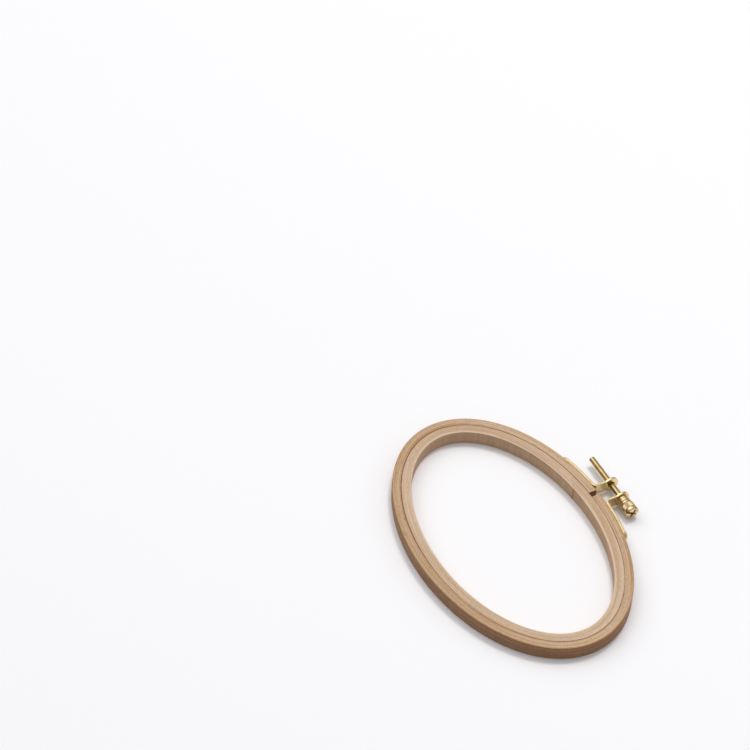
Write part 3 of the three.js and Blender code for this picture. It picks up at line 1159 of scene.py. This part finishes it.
# The direction of each lamp from the hoop, its distance and width in metres, and its power
lamps = {
    "keyLamp": {"towards": (-0.25, 0.32, 0.91), "distance": 2.8, "width": 0.54, "power": 20.5},
    "softLamp": {"towards": (-0.2, 0.3, 0.93), "distance": 2.8, "width": 3.0, "power": 13.5},
}


# White paper that is seen a little paler than it throws light back
def makeFloor():
    half = studio["floorSize"] / 2 / mm
    corners = [(-half, -half, 0), (half, -half, 0), (half, half, 0), (-half, half, 0)]
    floor = meshObject("floor", corners, [(0, 1, 2, 3)])
    material, nodes, shader = newMaterial("paper")
    path = nodes.add("ShaderNodeLightPath")
    seen = nodes.maths("MAXIMUM", path.outputs["Is Camera Ray"], path.outputs["Is Glossy Ray"])
    seen = nodes.maths("MAXIMUM", seen, path.outputs["Is Transmission Ray"])
    bounce = (studio["floorBounce"],) * 3 + (1.0,)
    nodes.link(nodes.mixColour("MIX", seen, bounce, studio["floorSeen"]), shader.inputs["Base Color"])
    shader.inputs["Roughness"].default_value = studio["floorRoughness"]
    shader.inputs["Specular IOR Level"].default_value = 0.0
    floor.data.materials.append(material)


# A sky that is brighter higher up, with a soft glow, a core in it and a tilt to one side
def makeSky():
    world = bpy.data.worlds.new("studio")
    bpy.context.scene.world = world
    world.use_nodes = True
    nodes = NodeTree(world.node_tree)
    direction = nodes.add("ShaderNodeTexCoord").outputs["Generated"]

    def facing(name):
        product = nodes.add("ShaderNodeVectorMath", operation="DOT_PRODUCT")
        nodes.link(direction, product.inputs[0])
        product.inputs[1].default_value = Vector(studio[name]).normalized()
        return product.outputs["Value"]

    separate = nodes.add("ShaderNodeSeparateXYZ")
    nodes.link(direction, separate.inputs[0])
    low, high = studio["skyLight"] * studio["horizonShare"], studio["skyLight"]
    sky = nodes.ramp(separate.outputs["Z"], 0.0, studio["clearHeight"], low, high)
    glow = 0.0
    for name in ("glow", "core"):
        outer, inner = (math.cos(math.radians(studio[name + part])) for part in ("Outer", "Inner"))
        patch = nodes.ramp(facing(name + "Towards"), outer, inner, 0.0, studio[name + "Light"])
        glow = nodes.maths("ADD", patch, glow)
    tilt = nodes.maths("MULTIPLY", facing("tiltTowards"), studio["tiltLight"])
    strength = nodes.maths("ADD", nodes.maths("ADD", sky, glow), tilt)
    background = world.node_tree.nodes["Background"]
    background.inputs["Color"].default_value = studio["skyColour"]
    nodes.link(strength, background.inputs["Strength"])


def makeLamps():
    for name, setting in lamps.items():
        lamp = bpy.data.lights.new(name, "AREA")
        lamp.shape = "DISK"
        lamp.size = setting["width"]
        lamp.energy = setting["power"]
        lampObject = bpy.data.objects.new(name, lamp)
        towards = Vector(setting["towards"]).normalized()
        lampObject.location = towards * setting["distance"]
        lampObject.rotation_euler = towards.to_track_quat("Z", "X").to_euler()
        # Polished metal shows the soft glow of the sky, not the lamp
        lampObject.visible_glossy = False
        bpy.context.scene.collection.objects.link(lampObject)


view = {
    "aim": (-0.1312, -0.0148, 0.0),
    "azimuth": 58.85,
    "elevation": 46.5,
    "roll": 4.088,
    "distance": 1.9817,
    "lens": 181.37,
    "sensor": 36.0,
}


def makeCamera():
    cameraData = bpy.data.cameras.new("camera")
    cameraData.sensor_width = view["sensor"]
    cameraData.lens = view["lens"]
    camera = bpy.data.objects.new("camera", cameraData)
    bpy.context.scene.collection.objects.link(camera)
    bpy.context.scene.camera = camera
    azimuth, elevation = math.radians(view["azimuth"]), math.radians(view["elevation"])
    back = Vector((math.sin(azimuth) * math.cos(elevation), -math.cos(azimuth) * math.cos(elevation),
                   math.sin(elevation)))
    place = Matrix.Translation(Vector(view["aim"]) + back * view["distance"])
    turn = Matrix.Rotation(azimuth, 4, "Z") @ Matrix.Rotation(math.pi / 2 - elevation, 4, "X")
    camera.matrix_world = place @ turn @ Matrix.Rotation(math.radians(view["roll"]), 4, "Z")


print("setting the floor, light and camera")
makeFloor()
makeSky()
makeLamps()
makeCamera()
bpy.context.scene.view_settings.view_transform = "Standard"
